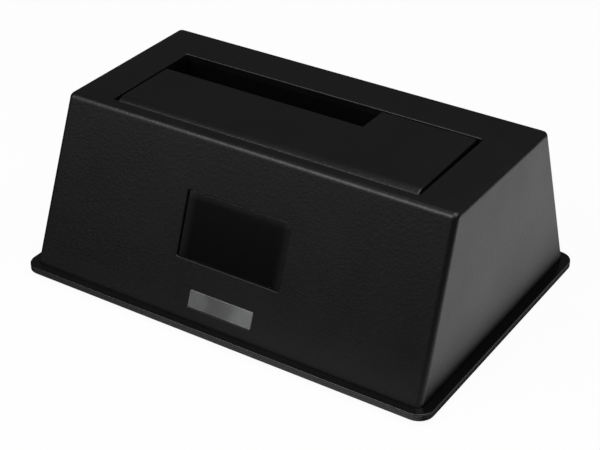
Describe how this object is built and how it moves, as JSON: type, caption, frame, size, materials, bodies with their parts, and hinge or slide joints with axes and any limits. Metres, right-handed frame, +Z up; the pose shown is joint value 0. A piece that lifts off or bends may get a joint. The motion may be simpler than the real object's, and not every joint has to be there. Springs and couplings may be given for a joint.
{
  "type": "hard drive docking station",
  "caption": "Sloped black desktop dock that holds a bare drive upright in a top bay behind a sprung L-shaped flap, with power and data sockets and a rocker switch at the back.",
  "frame": {"origin": "on the surface that the feet stand on, under the middle of the rim", "axes": "+X along the bay to the right, +Y to the back, where the ports are, +Z up"},
  "size_m": [0.1402, 0.0958, 0.0542],
  "materials": {
    "case_plastic": "fine leather grain, satin",
    "well_plastic": "plain moulded",
    "badge_gloss": "polished black",
    "smoked_window": "translucent smoked grey",
    "clear_guide": "clear acrylic",
    "led_resin": "cast resin",
    "board_laminate": "solder mask",
    "socket_black": "moulded",
    "socket_blue": "moulded",
    "contact_gold": "gold flash",
    "shell_steel": "tinned sheet",
    "pin_steel": "turned",
    "spring_steel": "drawn wire",
    "rocker_gloss": "satin black",
    "tinned_lead": "tinned",
    "chip_resin": "moulded resin",
    "coil_ferrite": "pressed ferrite",
    "capacitor_can": "drawn can",
    "passive_body": "fired",
    "screw_steel": "zinc plated",
    "foot_rubber": "matt"
  },
  "bodies": {
    "root": {"top_housing": "case_plastic", "base_plate": "case_plastic", "drive_well": "well_plastic", "flap_hinge_pin": "pin_steel", "flap_spring": "spring_steel", "badge_plate": "badge_gloss", "status_window": "smoked_window", "light_guide": "clear_guide", "status_led": "led_resin", "main_board": "board_laminate", "sata_receptacle": "socket_black", "sata_contacts": "contact_gold", "usb_shell": "shell_steel", "usb_insert": "socket_blue", "usb_contacts": "contact_gold", "dc_jack_body": "socket_black", "dc_jack_pin": "pin_steel", "switch_body": "socket_black", "solder_pins": "tinned_lead", "bridge_chip": "chip_resin", "chip_leads": "tinned_lead", "memory_chip": "chip_resin", "crystal": "shell_steel", "power_coils": "coil_ferrite", "capacitors": "capacitor_can", "regulators": "chip_resin", "chip_passives": "passive_body", "base_screws": "screw_steel", "board_screws": "screw_steel", "well_screws": "screw_steel", "rubber_feet": "foot_rubber"},
    "flap": {"drive_flap": "case_plastic"},
    "rocker": {"switch_rocker": "rocker_gloss"}
  },
  "joints": [
    {"name": "flap_hinge", "type": "hinge", "parent": "root", "child": "flap", "pos_m": [0, -0.01893, 0.0507], "axis": [-1, 0, 0], "range_deg": [0, 84], "stiffness_Nm_per_rad": 0.004, "springref_deg": -34.38, "deforming": ["flap_spring"]},
    {"name": "power_rocker", "type": "hinge", "parent": "root", "child": "rocker", "pos_m": [-0.026, 0.03567, 0.0123], "axis": [0, 0, 1], "range_deg": [0, 16]}
  ]
}
